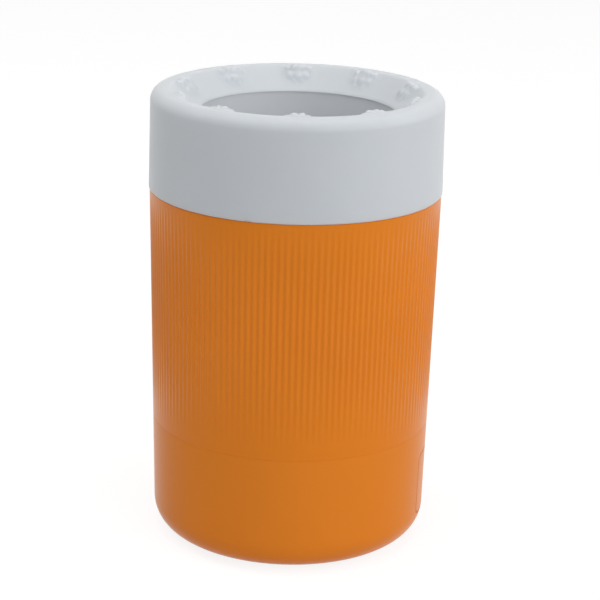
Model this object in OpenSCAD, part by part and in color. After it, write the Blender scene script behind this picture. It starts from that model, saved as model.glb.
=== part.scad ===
// Insulated drinks-can cooler in the shape of a small drinks jug: a white collar with a
// dished rim, a ribbed body and a rounded base that holds a battery sound module.
// Units are millimetres. +Z is up, and the origin is on the floor below the middle.
// The battery hatch faces +X, and the trigger under the can is on the -X side.

/* [Overall] */
// Height from the floor to the crest of the rim
total_h = 166.5; // [150:0.5:190]
// Height of the seam between the body and the base
base_seam_z = 44.4; // [42:0.2:56]
// Outer diameter of the body just under the collar
body_top_d = 105.4; // [102:0.2:112]
// Outer diameter of the base above its rounded edge
base_d = 101; // [98:0.2:105]
// Radius of the rounded bottom edge
base_round = 11; // [5:0.1:12]
// Wall of the body and the base
shell_wall = 2.4; // [1.8:0.1:3]
// Chamfer that shows as a fine line at the collar's seam
seam_chamfer = 0.3; // [0.1:0.05:0.6]
// Chamfer at the closer seam between the body and the base
base_seam_chamfer = 0.1; // [0.05:0.05:0.6]

/* [Collar] */
// Height of the collar, from the seam to the crest of the rim
collar_h = 35.8; // [33:0.1:40]
// Step by which the collar stands out over the body
collar_proud = 0.3; // [0:0.05:1]
// Step by which the collar draws in from its lower edge to its top
collar_draft = 0.4; // [0:0.05:1.2]
// Wall of the collar
collar_wall = 2.2; // [1.6:0.1:3]
// Radius of the rounded outer top edge
rim_round = 4.2; // [1.5:0.1:5]
// Width of the flat top of the rim, outside the crest where it starts to dip
rim_flat = 2.9; // [1:0.1:5]
// Drop from the crest to the edge of the mouth
mouth_drop = 8.1; // [5:0.1:12]
// Radius of the lip round the mouth
lip_round = 4.1; // [2:0.1:6]
// Slope of the lip at the edge of the mouth, from level
lip_slope = 60; // [50:1:80]
// Length of the skirt that hangs below the mouth
skirt_len = 32.4; // [27:0.1:36]
// Wall of the skirt
skirt_wall = 1.9; // [1.4:0.1:2.6]
// Stiffening gussets inside the collar
gusset_count = 10; // [4:1:16]
// Thickness of a gusset
gusset_t = 1.2; // [0.8:0.1:2]
// Angle of the locating key, from +X
key_angle = 252; // [0:1:359]
// Width of the locating key
key_w = 0.9; // [0.6:0.1:3]
// Depth of the locating key below the seam
key_drop = 0.5; // [0.3:0.1:2]

/* [Ice nubs] */
// Clusters of nubs on the dished rim
cluster_count = 10; // [4:1:12]
// Radius of one nub
nub_r = 1.8; // [1.4:0.1:2.4]
// Rise of the highest nubs above the crest
nub_rise = 0.4; // [0.2:0.1:1.2]
// Relief of the nubs on the slope, as a share of their radius
nub_relief = 0.55; // [0.3:0.05:1]

/* [Well] */
// Inner diameter of the can well
well_d = 70.4; // [67.5:0.1:72]
// Wall of the liner
liner_wall = 1.8; // [1.2:0.1:2.4]
// Radius between the floor and the wall of the well
well_corner = 5; // [4:0.5:8]
// Thickness of the floor of the liner
liner_floor = 2; // [1.4:0.1:3]
// Length of the socket that takes the skirt
socket_len = 7; // [5:0.5:10]
// Thickness of the liner's top flange
flange_t = 2; // [1.4:0.1:3]

/* [Body] */
// Number of ribs round the body
rib_count = 144; // [24:1:160]
// Depth of the grooves between the ribs
rib_depth = 0.3; // [0.15:0.05:0.5]
// Smooth band below the ribs
rib_low_gap = 7; // [3:0.5:20]
// Smooth band above the ribs
rib_high_gap = 4; // [2:0.5:20]
// Height of the neck that the collar fits over
neck_h = 8; // [6:0.5:12]
// Wall of the neck
neck_wall = 2.6; // [2.2:0.1:3.2]
// Radius of the seal ring's cord
seal_r = 0.85; // [0.6:0.05:1]
// Thickness of the bulkhead between the well and the base
bulkhead_t = 2.2; // [1.6:0.1:3]
// Thickness of the ledge that carries the bulkhead
ledge_t = 2; // [1.6:0.1:3]
// Width of the ledge that carries the bulkhead
ledge_w = 3.6; // [2.5:0.1:5]

/* [Base] */
// Height of the spigot that centres the body on the base
spigot_h = 2; // [1.5:0.1:4]
// Diameter of the circle of screw bosses and feet
boss_circle_d = 68; // [64:0.5:70]
// Outer diameter of a screw boss
boss_d = 9.4; // [9:0.1:11]
// Diameter of a foot
foot_d = 10.4; // [9:0.1:12]
// Thickness of the rim of a foot
foot_t = 1.4; // [1.2:0.1:1.8]
// Height that the feet lift the base off the floor
foot_proud = 0.6; // [0.3:0.1:1]
// Slots in the speaker grille
grille_slots = 12; // [6:1:16]

/* [Hatch] */
// Width of the battery hatch
hatch_w = 34.6; // [32:0.2:37]
// Height of the battery hatch
hatch_h = 24; // [23:0.2:26]
// Height of the lower edge of the hatch
hatch_z = 10.4; // [9:0.1:12]
// Radius of the corners of the hatch opening
hatch_corner = 3; // [2.4:0.1:5]
// Gap round the hatch
hatch_gap = 0.45; // [0.3:0.05:0.8]
// Width of the seat round the opening
hatch_seat = 1.6; // [1:0.1:2.4]
// Thickness of the outer skin of the hatch
hatch_skin = 1.2; // [0.8:0.1:1.6]

/* [Battery] */
// Diameter of a button cell
cell_d = 11.6; // [9.5:0.1:12]
// Height of a button cell
cell_h = 5.4; // [3.6:0.1:5.6]
// Number of cells in the stack
cell_count = 3; // [1:1:3]
// Wall of the battery box
box_wall = 1.6; // [1.2:0.1:2.2]
// Length of the contact spring
contact_spring_len = 4; // [3:0.1:5]

/* [Trigger] */
// Distance of the trigger from the middle, on the ring that a can stands on
trigger_r = 24; // [22:0.5:25]
// Travel of the trigger
press_travel = 1.5; // [0.8:0.1:2]
// Height of the rubber boot above the floor of the well
boot_rise = 2.6; // [2.2:0.1:3.4]
// Diameter of the rubber boot
boot_d = 12; // [11:0.1:13]
// Diameter of the plunger's stem
stem_d = 5; // [4:0.1:5.4]
// Turns of the plunger spring
spring_turns = 5; // [3:1:6]

/* [Sound module] */
// Diameter of the speaker
speaker_d = 36; // [28:0.5:38]
// Length of the circuit board
board_l = 36; // [34:0.5:38]
// Width of the circuit board
board_w = 24; // [16:0.5:26]
// Thickness of the circuit board
board_t = 1.2; // [0.8:0.1:1.6]
// Travel of the power switch
switch_travel = 2; // [1.5:0.1:3]
// Thickness of the leads
lead_d = 1.2; // [0.8:0.1:1.6]

/* [Hidden] */

$fn = 96;
eps = 0.01;
// Overlap that joins two shapes of one piece
bite = 0.5;
// Gap between pieces that are only placed side by side
gap = 0.15;
// Gap between curved faces of pieces that part
free_gap = 0.3;
// Radial clearance of a sliding fit
slide_fit = 0.05;

// Heights of the stack, from the floor up
base_z = foot_proud;
base_floor_z = base_z + shell_wall;
round_top_z = base_z + base_round;
ledge_z = base_seam_z + spigot_h;
bulkhead_z = ledge_z + ledge_t;
liner_z = bulkhead_z + bulkhead_t;
well_floor_z = liner_z + liner_floor;
collar_seam_z = total_h - collar_h;
mouth_z = total_h - mouth_drop;
skirt_z = mouth_z - skirt_len;
socket_z = skirt_z - gap;
flange_z = socket_z + socket_len - flange_t;
neck_top_z = collar_seam_z + neck_h;
// Seat of the liner's flange inside the neck
seat_w = 1.4;
seat_t = 2.7;
shoulder_z = min(collar_seam_z, flange_z) - seat_t;

// Radii
collar_r = body_top_d / 2 + collar_proud;
collar_top_r = collar_r - collar_draft;
function body_r(z) =
    base_d / 2 + (body_top_d - base_d) / 2 * (z - round_top_z) / (collar_seam_z - round_top_z);
function shell_in_r(z) = body_r(z) - shell_wall;
taper = atan((body_top_d - base_d) / 2 / (collar_seam_z - round_top_z));
well_r = well_d / 2;
liner_r = well_r + liner_wall;
skirt_r = well_r + skirt_wall;
socket_in_r = skirt_r + free_gap;
socket_r = socket_in_r + liner_wall;
collar_in_r = collar_top_r - collar_wall;
neck_r = collar_in_r - free_gap;
neck_in_r = neck_r - neck_wall;
seat_in_r = neck_in_r - seat_w;
ledge_in_r = shell_in_r(ledge_z) - ledge_w;
crest_r = collar_top_r - rim_round - rim_flat;
boss_r = boss_circle_d / 2;

// The dish is a straight slope, tangent to the lip round the mouth
lip_c = [well_r, mouth_z] + lip_round * [sin(lip_slope), -cos(lip_slope)];
dish_run = [crest_r, total_h] - lip_c;
dish_angle = atan2(dish_run[1], dish_run[0]) - asin(lip_round / norm(dish_run));
lip_top = lip_c + lip_round * [-sin(dish_angle), cos(dish_angle)];
function dish_z(r) = lip_top[1] + (r - lip_top[0]) * tan(dish_angle);

// Screws
base_screw_r = 1.5;
base_screw_l = 12;
base_head_r = 2.9;
head_h = 2.2;
post_h = 8.4;
post_z = bulkhead_z - post_h;
head_seat_z = post_z - base_screw_l / 2;
foot_plug_h = 4;
counterbore_r = base_head_r + 0.4;
pilot_r = base_screw_r - 0.2;

// Trigger
trigger_at = [-trigger_r, 0, 0];
boot_r = boot_d / 2;
boot_wall = 0.8;
boot_flange_r = boot_r + 2;
boot_flange_t = 1;
boot_top_z = well_floor_z + boot_rise;
cap_r = boot_r - boot_wall - 0.3;
cap_top_z = boot_top_z - boot_wall - 0.1;
cap_z = well_floor_z - 1.2;
stem_r = stem_d / 2;
guide_r = stem_r + slide_fit;
spring_wire_r = 0.25;
spring_r = stem_r + 1;
cup_r = spring_r + spring_wire_r + 0.65;
cup_z = bulkhead_z - 2.9;
guide_h = 2.5;
cup_wall = 1.6;
guide_z = cup_z - guide_h;
stop_t = 0.9;
stop_r = stem_r + 0.8;
stop_z = guide_z - slide_fit - stop_t;
pill_h = 0.7;
pill_r = stem_r - 0.3;
pill_z = stop_z - pill_h;

// Circuit board, hung from the bulkhead under the trigger
board_top_z = pill_z - press_travel - 0.1;
board_x = -trigger_r;
board_post_r = 2.8;
board_post_x = board_l / 2 - 4;
board_screw_r = 1.1;
board_screw_bite = 5;
board_head_r = 2;
board_head_h = 1.3;

// Battery box behind the hatch
hatch_top_z = hatch_z + hatch_h;
pocket_w = cell_count * cell_h + contact_spring_len + 0.9;
pocket_d = cell_d + 0.4;
box_z = hatch_z + hatch_seat + 0.4;
box_h = pocket_d + 2 * box_wall;
box_w = pocket_w + 2 * box_wall;
box_front_x = sqrt(pow(shell_in_r(box_z), 2) - pow(box_w / 2, 2)) - 0.6;
box_depth = pocket_d + box_wall;
cell_x = box_front_x - 0.3 - cell_d / 2;
cell_z = box_z + box_h / 2;
stack_end_y = pocket_w / 2 - 0.5;
hatch_screw_r = 1.45;
hatch_head_r = 2.6;
lug_r = 3.2;
hatch_screw_z = hatch_top_z - hatch_seat - hatch_gap - lug_r;
lug_x = box_front_x;
head_seat_x = body_r(hatch_screw_z) - 2.9;

// Speaker on the base floor
speaker_r = speaker_d / 2;
speaker_z = base_floor_z;
speaker_h = 5.5;
speaker_rim_r = speaker_r - 2.4;
basket_t = 0.6;
magnet_r = speaker_r * 0.45;
magnet_h = 4;
film_t = 0.5;
cone_r = speaker_rim_r - basket_t - gap;
fold_r = cone_r - 2.2;
coil_r = magnet_r / 2;

// Leads: pull of the curve at the ends, and places of the solder pads on the board
lead_slack = 8;
battery_pad_x = board_x + board_l / 2 - 3;
speaker_pad_x = board_x + board_l / 2 - 8;
switch_pad_x = board_x + board_l / 4;
switch_pad_step = 2.5;

// Slide switch under the base
switch_at = [0, 27, 0];
switch_l = 8.6;
switch_w = 4;
switch_h = 3.6;
knob = [2.4, 2.2, 2.6];
knob_recess = 1.2;

module revolve() {
    rotate_extrude() children();
}

// Copies of a shape on the four screw bosses
module at_bosses() {
    for (a = [45:90:315]) rotate(a) translate([boss_r, 0, 0]) children();
}

// The filled outline of the base, drawn in by inset
module base_outline(inset, top) {
    edge_c = [base_d / 2 - base_round, round_top_z];
    polygon([[0, base_z + inset], [edge_c[0], base_z + inset], edge_c,
             [base_d / 2 - inset, edge_c[1]], [body_r(top) - inset, top], [0, top]]);
    translate(edge_c) circle(base_round - inset);
}

// A block over the hatch opening, drawn in by inset on all four sides
module hatch_block(inset) {
    depth = 30;
    w = hatch_w - 2 * inset;
    h = hatch_h - 2 * inset;
    r = max(hatch_corner - inset, free_gap);
    translate([base_d / 2 + bite * 4 - depth, -w / 2, hatch_z + inset])
        rotate([90, 0, 90]) linear_extrude(depth) {
            translate([r, 0]) square([w - 2 * r, h]);
            translate([0, r]) square([w, h - 2 * r]);
            for (y = [r, w - r], z = [r, h - r]) translate([y, z]) circle(r = r);
        }
}

module hatch_opening() {
    difference() {
        hatch_block(0);
        revolve() base_outline(hatch_skin, hatch_top_z + 5);
    }
    hatch_block(hatch_seat);
}

module grille() {
    slot_w = 1.6;
    slot_in_r = 4;
    slot_out_r = speaker_r - 4;
    for (i = [0:grille_slots - 1])
        rotate(i * 360 / grille_slots)
            translate([slot_in_r, -slot_w / 2, base_z - 1])
                cube([slot_out_r - slot_in_r, slot_w, shell_wall + 2]);
}

module switch_cut() {
    recess = [switch_l + 5.4, switch_w + 3];
    slot = [knob[0] + switch_travel + 0.8, knob[1] + 0.6];
    translate(switch_at) {
        translate([-recess[0] / 2, -recess[1] / 2, base_z - 1])
            cube([recess[0], recess[1], 1 + knob_recess]);
        translate([-slot[0] / 2, -slot[1] / 2, base_z - 1])
            cube([slot[0], slot[1], shell_wall + 2]);
    }
}

module base_shell() color("darkorange") {
    spigot_r = shell_in_r(base_seam_z) - gap;
    spigot_wall = 2.2;
    root_h = 4;
    rib_t = 1.6;
    rib_l = box_depth;
    fence_h = 3;
    fence_t = 1.4;
    difference() {
        union() {
            revolve() difference() {
                base_outline(0, base_seam_z);
                base_outline(shell_wall, base_seam_z + 1);
                polygon([[body_r(base_seam_z) - base_seam_chamfer, base_seam_z + eps],
                         [body_r(base_seam_z) + 1, base_seam_z + eps],
                         [body_r(base_seam_z) + 1, base_seam_z - base_seam_chamfer - 1]]);
            }
            // Spigot, rooted in the wall below the seam
            revolve() polygon([
                [spigot_r - spigot_wall, base_seam_z - root_h],
                [spigot_r + gap + bite, base_seam_z - root_h],
                [spigot_r + gap + bite, base_seam_z - base_seam_chamfer - eps],
                [spigot_r, base_seam_z - base_seam_chamfer - eps],
                [spigot_r, base_seam_z + spigot_h - gap],
                [spigot_r - spigot_wall, base_seam_z + spigot_h - gap]]);
            at_bosses() translate([0, 0, base_floor_z - bite])
                cylinder(r = boss_d / 2, h = post_z - base_floor_z + bite);
            // Fence round the speaker
            revolve() translate([speaker_r + gap, base_floor_z - bite])
                square([fence_t, fence_h + bite]);
            // Two ribs that carry the battery box
            for (s = [-1, 1])
                translate([box_front_x - rib_l, s * box_w / 4 - rib_t / 2, base_floor_z - bite])
                    cube([rib_l - base_round / 3, rib_t, box_z - base_floor_z + bite]);
        }
        at_bosses() {
            translate([0, 0, base_z - 1])
                cylinder(r = counterbore_r, h = head_seat_z - base_z + 1);
            cylinder(r = base_screw_r + 0.3, h = post_z + 1);
            translate([0, 0, base_z - 1])
                cylinder(r = foot_d / 2 + gap, h = foot_t - foot_proud + 1);
        }
        grille();
        switch_cut();
        hatch_opening();
    }
}

module rib_grooves() {
    low = base_seam_z + rib_low_gap;
    high = collar_seam_z - rib_high_gap;
    mid = (low + high) / 2;
    groove_w = 0.55 * PI * 2 * body_r(mid) / rib_count;
    for (i = [0:rib_count - 1])
        rotate(i * 360 / rib_count)
            translate([body_r(mid), 0, mid])
                rotate([0, taper, 0])
                    linear_extrude(high - low, center = true)
                        polygon([[-rib_depth, 0], [rib_depth, -groove_w], [rib_depth, groove_w]]);
}

module body_shell() color("darkorange") difference() {
    revolve() difference() {
        polygon([[body_r(base_seam_z) - base_seam_chamfer, base_seam_z],
                 [body_r(base_seam_z), base_seam_z + base_seam_chamfer],
                 [body_top_d / 2, collar_seam_z - seam_chamfer],
                 [body_top_d / 2 - seam_chamfer, collar_seam_z],
                 [neck_r, collar_seam_z], [neck_r, neck_top_z],
                 [neck_in_r, neck_top_z], [neck_in_r, flange_z], [seat_in_r, flange_z],
                 [seat_in_r, shoulder_z], [shell_in_r(shoulder_z), shoulder_z],
                 [shell_in_r(bulkhead_z), bulkhead_z], [ledge_in_r, bulkhead_z],
                 [ledge_in_r, ledge_z], [shell_in_r(ledge_z), ledge_z],
                 [shell_in_r(base_seam_z), base_seam_z]]);
        // Groove for the seal ring
        translate([neck_r - 2 * seal_r + 0.2, collar_seam_z + neck_h / 2 - seal_r - 0.1])
            square([4 * seal_r, 2 * seal_r + 0.2]);
    }
    rib_grooves();
    // Notch for the collar's key
    rotate(key_angle)
        translate([neck_r, -key_w / 2 - gap, collar_seam_z - key_drop - gap])
            cube([5, key_w + 2 * gap, key_drop + gap + 0.2]);
}

module bulkhead() color("whitesmoke") {
    difference() {
        union() {
            translate([0, 0, bulkhead_z])
                cylinder(r = shell_in_r(bulkhead_z) - gap, h = bulkhead_t);
            at_bosses() translate([0, 0, post_z])
                cylinder(r = boss_d / 2 - 0.6, h = post_h + bite);
            translate(trigger_at) translate([0, 0, guide_z])
                cylinder(r = cup_r + cup_wall, h = bulkhead_z + bite - guide_z);
            for (s = [-1, 1])
                translate([board_x + s * board_post_x, 0, board_top_z])
                    cylinder(r = board_post_r, h = bulkhead_z + bite - board_top_z);
        }
        at_bosses() translate([0, 0, post_z - 1])
            cylinder(r = pilot_r, h = post_h);
        translate(trigger_at) {
            translate([0, 0, guide_z - 1]) cylinder(r = guide_r, h = guide_h + 2);
            translate([0, 0, cup_z]) cylinder(r = cup_r, h = liner_z + 1 - cup_z);
            translate([0, 0, liner_z - boot_flange_t])
                cylinder(r = boot_flange_r + gap, h = boot_flange_t + 1);
        }
        for (s = [-1, 1])
            translate([board_x + s * board_post_x, 0, board_top_z - 1])
                cylinder(r = board_screw_r - 0.15, h = board_screw_bite + 2);
    }
}

module liner() color("white") difference() {
    revolve() difference() {
        polygon([[0, liner_z], [liner_r, liner_z], [liner_r, socket_z - liner_wall],
                 [socket_r, socket_z], [socket_r, flange_z], [neck_in_r - gap, flange_z],
                 [neck_in_r - gap, flange_z + flange_t], [0, flange_z + flange_t]]);
        polygon([[0, well_floor_z], [well_r - well_corner, well_floor_z],
                 [well_r - well_corner, well_floor_z + well_corner],
                 [well_r, well_floor_z + well_corner], [well_r, socket_z],
                 [socket_in_r, socket_z], [socket_in_r, flange_z + flange_t + 1],
                 [0, flange_z + flange_t + 1]]);
        translate([well_r - well_corner, well_floor_z + well_corner]) circle(well_corner);
    }
    translate(trigger_at) translate([0, 0, liner_z - 1])
        cylinder(r = boot_r + gap, h = liner_floor + 2);
}

module foam_sleeve() color("lightyellow") revolve() polygon([
    [liner_r + gap, liner_z + gap], [shell_in_r(liner_z) - gap, liner_z + gap],
    [shell_in_r(shoulder_z) - gap, shoulder_z - gap], [socket_r + gap, shoulder_z - gap],
    [socket_r + gap, socket_z - gap], [liner_r + gap, socket_z - liner_wall - gap]]);

module collar_seal() color("dimgray") revolve()
    translate([neck_r + free_gap - slide_fit - seal_r, collar_seam_z + neck_h / 2])
        circle(seal_r);

// One nub of ice, part sunk in the dish, at distance r from the middle
module nub(angle, r, size, top) {
    rotate(angle) translate([r, 0, top - size]) sphere(size, $fn = 32);
}

// A heap of nubs on the slope: three along the crest, two below them, one at the lip
module nub_cluster() {
    top_row_r = crest_r - 0.8 * nub_r;
    mid_row_r = top_row_r - 1.3 * nub_r;
    low_row_r = mid_row_r - 1.05 * nub_r;
    step = 4.1;
    for (s = [-1, 0, 1]) nub(s * step, top_row_r, nub_r, total_h + nub_rise - 0.15 * abs(s));
    for (s = [-0.6, 0.5])
        nub(s * step, mid_row_r, 0.95 * nub_r, dish_z(mid_row_r) + nub_relief * nub_r);
    nub(-0.1 * step, low_row_r, 0.8 * nub_r, dish_z(low_row_r) + 0.8 * nub_relief * nub_r);
}

module collar() color("white") {
    slab = collar_wall / cos(dish_angle);
    difference() {
        revolve() difference() {
            union() {
                polygon([[well_r, skirt_z], [well_r, mouth_z], lip_top,
                         [crest_r, total_h], [collar_top_r - rim_round, total_h],
                         [collar_top_r - rim_round, total_h - rim_round],
                         [collar_top_r, total_h - rim_round],
                         [collar_r, collar_seam_z + seam_chamfer],
                         [collar_r - seam_chamfer, collar_seam_z],
                         [collar_in_r - bite, collar_seam_z],
                         [collar_in_r - bite, skirt_z]]);
                intersection() {
                    translate(lip_c) circle(lip_round);
                    polygon([[well_r, mouth_z - 1], [well_r, lip_top[1]], lip_top,
                             [lip_top[0], mouth_z - 1]]);
                }
                translate([collar_top_r - rim_round, total_h - rim_round])
                    circle(rim_round);
            }
            polygon([[skirt_r, skirt_z - 1], [skirt_r, dish_z(skirt_r) - slab],
                     [crest_r, total_h - collar_wall],
                     [collar_in_r, total_h - collar_wall],
                     [collar_in_r, skirt_z - 1]]);
        }
    }
    gusset_z = neck_top_z + 2;
    for (i = [0:gusset_count - 1])
        rotate((i + 0.5) * 360 / gusset_count)
            rotate([90, 0, 0]) linear_extrude(gusset_t, center = true)
                polygon([[skirt_r - bite, gusset_z], [collar_in_r + bite, gusset_z],
                         [collar_in_r + bite, total_h - collar_wall + bite],
                         [crest_r, total_h - collar_wall + bite],
                         [skirt_r - bite, dish_z(skirt_r) - slab]]);
    for (i = [0:cluster_count - 1])
        rotate(90 + i * 360 / cluster_count) nub_cluster();
    rotate(key_angle)
        translate([collar_r - collar_wall, -key_w / 2, collar_seam_z - key_drop])
            cube([collar_wall - 0.4, key_w, key_drop + bite]);
}

module hatch() color("darkorange") {
    plug_in = hatch_seat + hatch_gap;
    lug_h = head_seat_x - lug_x + 1.4;
    difference() {
        union() {
            intersection() {
                revolve() difference() {
                    base_outline(0, hatch_top_z + 5);
                    base_outline(hatch_skin - free_gap, hatch_top_z + 6);
                }
                hatch_block(hatch_gap);
            }
            intersection() {
                revolve() difference() {
                    base_outline(eps, hatch_top_z + 5);
                    base_outline(shell_wall, hatch_top_z + 6);
                }
                hatch_block(plug_in);
            }
            translate([lug_x, 0, hatch_screw_z]) rotate([0, 90, 0])
                cylinder(r = lug_r - gap, h = lug_h);
        }
        translate([lug_x - 1, 0, hatch_screw_z]) rotate([0, 90, 0])
            cylinder(r = hatch_screw_r + slide_fit, h = lug_h + 2);
        translate([head_seat_x, 0, hatch_screw_z]) rotate([0, 90, 0])
            cylinder(r = hatch_head_r + gap, h = lug_h);
    }
}

module hatch_screw() color("silver") translate([0, 0, hatch_screw_z]) rotate([0, 90, 0])
    difference() {
        union() {
            translate([0, 0, lug_x - 6])
                cylinder(r = hatch_screw_r, h = head_seat_x - lug_x + 6 + bite);
            translate([0, 0, head_seat_x]) cylinder(r = hatch_head_r, h = 1.6);
        }
        for (a = [0, 90]) rotate(a)
            translate([-1.7, -0.3, head_seat_x + 0.8]) cube([3.4, 0.6, 1]);
    }

module battery_box() color("dimgray") {
    difference() {
        union() {
            translate([box_front_x - box_depth, -box_w / 2, box_z])
                cube([box_depth, box_w, box_h]);
            // Lug that takes the hatch screw
            translate([lug_x - 9, 0, hatch_screw_z]) rotate([0, 90, 0])
                cylinder(r = lug_r, h = 9);
            translate([lug_x - 9, -lug_r, box_z + box_h - bite])
                cube([9, 2 * lug_r, hatch_screw_z - box_z - box_h + bite]);
        }
        translate([box_front_x - box_depth + box_wall, -pocket_w / 2, box_z + box_wall])
            cube([pocket_d + 1, pocket_w, pocket_d]);
        translate([lug_x - 7.5, 0, hatch_screw_z]) rotate([0, 90, 0])
            cylinder(r = hatch_screw_r + slide_fit, h = 10);
    }
}

module cells() color("silver")
    for (i = [0:cell_count - 1])
        translate([cell_x, stack_end_y - i * cell_h, cell_z]) rotate([90, 0, 0]) {
            can_h = cell_h * 0.86;
            cylinder(r = cell_d / 2, h = can_h - gap);
            cylinder(r = cell_d / 2 - 1.1, h = cell_h - gap);
        }

// A point on a helix about Z, t turns up from its start
function helix_point(r, h, turns, t) = [r * cos(360 * t), r * sin(360 * t), h * t / turns];

// A round wire swept along points, as one closed skin
module wire(path, r, sides = 6) {
    n = len(path);
    dirs = [for (i = [0:n - 1])
        let (d = path[min(i + 1, n - 1)] - path[max(i - 1, 0)]) d / norm(d)];
    ups = [for (d = dirs) let (u = abs(d[2]) > 0.95 ? [1, 0, 0] : [0, 0, 1],
                               s = cross(d, u)) s / norm(s)];
    rings = [for (i = [0:n - 1]) let (s = ups[i], w = cross(s, dirs[i]))
        [for (k = [0:sides - 1]) path[i] + r * (cos(360 * k / sides) * s
                                                + sin(360 * k / sides) * w)]];
    points = [for (ring = rings) each ring];
    side_faces = [for (i = [0:n - 2], k = [0:sides - 1]) let (k2 = (k + 1) % sides)
        each [[i * sides + k, i * sides + k2, (i + 1) * sides + k2],
              [i * sides + k, (i + 1) * sides + k2, (i + 1) * sides + k]]];
    start_face = [for (k = [1:sides - 2]) [0, k + 1, k]];
    last = (n - 1) * sides;
    end_face = [for (k = [1:sides - 2]) [last, last + k, last + k + 1]];
    polyhedron(points, concat(side_faces, start_face, end_face));
}

// An open coil spring about Z, from 0 to h
module coil(r, h, turns, wire_r) {
    rings_per_turn = 8;
    n = turns * rings_per_turn;
    translate([0, 0, wire_r])
        wire([for (i = [0:n]) helix_point(r, h - 2 * wire_r, turns, i / rings_per_turn)], wire_r);
}

module contact_spring() color("silver")
    translate([cell_x, stack_end_y - cell_count * cell_h - gap, cell_z]) rotate([90, 0, 0])
        coil(cell_d / 3.6, contact_spring_len, 3, 0.25);

module contact_plate() color("silver")
    translate([cell_x - cell_d / 3, stack_end_y + 0.1, cell_z - cell_d / 3])
        cube([cell_d / 1.5, 0.3, cell_d / 1.5]);

module trigger_boot() color("dimgray") translate(trigger_at) revolve() difference() {
    union() {
        translate([0, liner_z - boot_flange_t + 0.05])
            square([boot_flange_r, boot_flange_t - 0.1]);
        translate([0, liner_z - boot_flange_t + 0.05])
            square([boot_r, boot_top_z - 1 - liner_z + boot_flange_t]);
        translate([0, boot_top_z - 2]) square([boot_r - 1, 2]);
        translate([boot_r - 1, boot_top_z - 1 - 0.05]) circle(1);
    }
    translate([-1, liner_z - boot_flange_t - 1])
        square([boot_r - boot_wall + 1, boot_top_z - boot_wall - liner_z + boot_flange_t + 1]);
    translate([-20, 0]) square([20, total_h]);
}

module plunger() color("ivory") translate(trigger_at) {
    translate([0, 0, cap_z]) cylinder(r = cap_r, h = cap_top_z - cap_z);
    translate([0, 0, stop_z]) cylinder(r = stem_r, h = cap_z - stop_z + bite);
    translate([0, 0, stop_z]) cylinder(r = stop_r, h = stop_t);
}

module contact_pill() color("black") translate(trigger_at)
    translate([0, 0, pill_z]) cylinder(r = pill_r, h = pill_h);

module plunger_spring() color("silver") translate(trigger_at) translate([0, 0, cup_z])
    coil(spring_r, cap_z - cup_z, spring_turns, spring_wire_r);

module foot_plugs() color("dimgray") at_bosses() {
    cylinder(r = foot_d / 2, h = foot_t);
    cylinder(r = counterbore_r - gap, h = foot_t + foot_plug_h);
}

module base_screws() color("silver") at_bosses() difference() {
    union() {
        translate([0, 0, head_seat_z]) cylinder(r = base_screw_r, h = base_screw_l);
        translate([0, 0, head_seat_z - head_h]) cylinder(r = base_head_r, h = head_h);
    }
    cross_l = 1.3 * base_head_r;
    cross_w = 0.7;
    for (a = [0, 90]) rotate(a)
        translate([-cross_l / 2, -cross_w / 2, head_seat_z - 1.5 * head_h])
            cube([cross_l, cross_w, head_h]);
}

module circuit_board() color("seagreen") difference() {
    translate([board_x - board_l / 2, -board_w / 2, board_top_z - board_t])
        cube([board_l, board_w, board_t]);
    for (s = [-1, 1])
        translate([board_x + s * board_post_x, 0, board_top_z - board_t - 1])
            cylinder(r = board_screw_r + 0.2, h = board_t + 2);
}

module board_screws() color("silver") for (s = [-1, 1])
    translate([board_x + s * board_post_x, 0, board_top_z - board_t]) {
        cylinder(r = board_screw_r, h = board_t + board_screw_bite);
        translate([0, 0, -board_head_h]) cylinder(r = board_head_r, h = board_head_h);
    }

module sound_chip() color("black")
    translate([board_x, board_w / 4, board_top_z - board_t]) intersection() {
        translate([0, 0, 4]) sphere(6.2);
        translate([-10, -10, -3]) cube([20, 20, 3]);
    }

module capacitor() color("midnightblue")
    translate([board_x - board_l / 4, -board_w / 4, board_top_z - board_t - 7.5])
        cylinder(r = 2.5, h = 7.5);

// Sheet steel basket, drawn in from its rim to the magnet
module speaker_frame() color("gray") translate([0, 0, speaker_z]) revolve() polygon([
    [speaker_rim_r, 0], [speaker_r, 0], [speaker_r, 1.6 * basket_t], [speaker_rim_r, 2 * basket_t],
    [magnet_r + 2, speaker_h], [magnet_r - 3, speaker_h], [magnet_r - 3, speaker_h - basket_t],
    [magnet_r + 1.7, speaker_h - basket_t], [speaker_rim_r - basket_t, basket_t]]);

module speaker_magnet() color("dimgray") translate([0, 0, speaker_z + speaker_h]) {
    cylinder(r = magnet_r, h = magnet_h - 0.8);
    cylinder(r = magnet_r - 1, h = magnet_h);
}

// Film cone with a domed middle and a folded edge
module speaker_cone() color("black") translate([0, 0, speaker_z]) revolve() polygon([
    [0, 3 * film_t], [2, 3.4 * film_t], [coil_r, 5.6 * film_t], [fold_r, 1.8 * film_t],
    [cone_r, 0.6 * film_t], [cone_r, 1.2 * film_t], [fold_r, 2.8 * film_t],
    [coil_r, 6.6 * film_t], [1.9, 4.4 * film_t], [0, 4 * film_t]]);

module switch_body() color("silver") translate(switch_at)
    translate([-switch_l / 2, -switch_w / 2, base_floor_z]) difference() {
        cube([switch_l, switch_w, switch_h]);
        translate([(switch_l - knob[0] - switch_travel) / 2 - 0.3,
                   (switch_w - knob[1]) / 2 - 0.1, -1])
            cube([knob[0] + switch_travel + 0.6, knob[1] + 0.2, 2.4]);
    }

module switch_slider() color("black") translate(switch_at)
    translate([-(knob[0] + switch_travel) / 2, -knob[1] / 2, base_floor_z + 1.3 - knob[2]])
        cube(knob);

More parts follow.
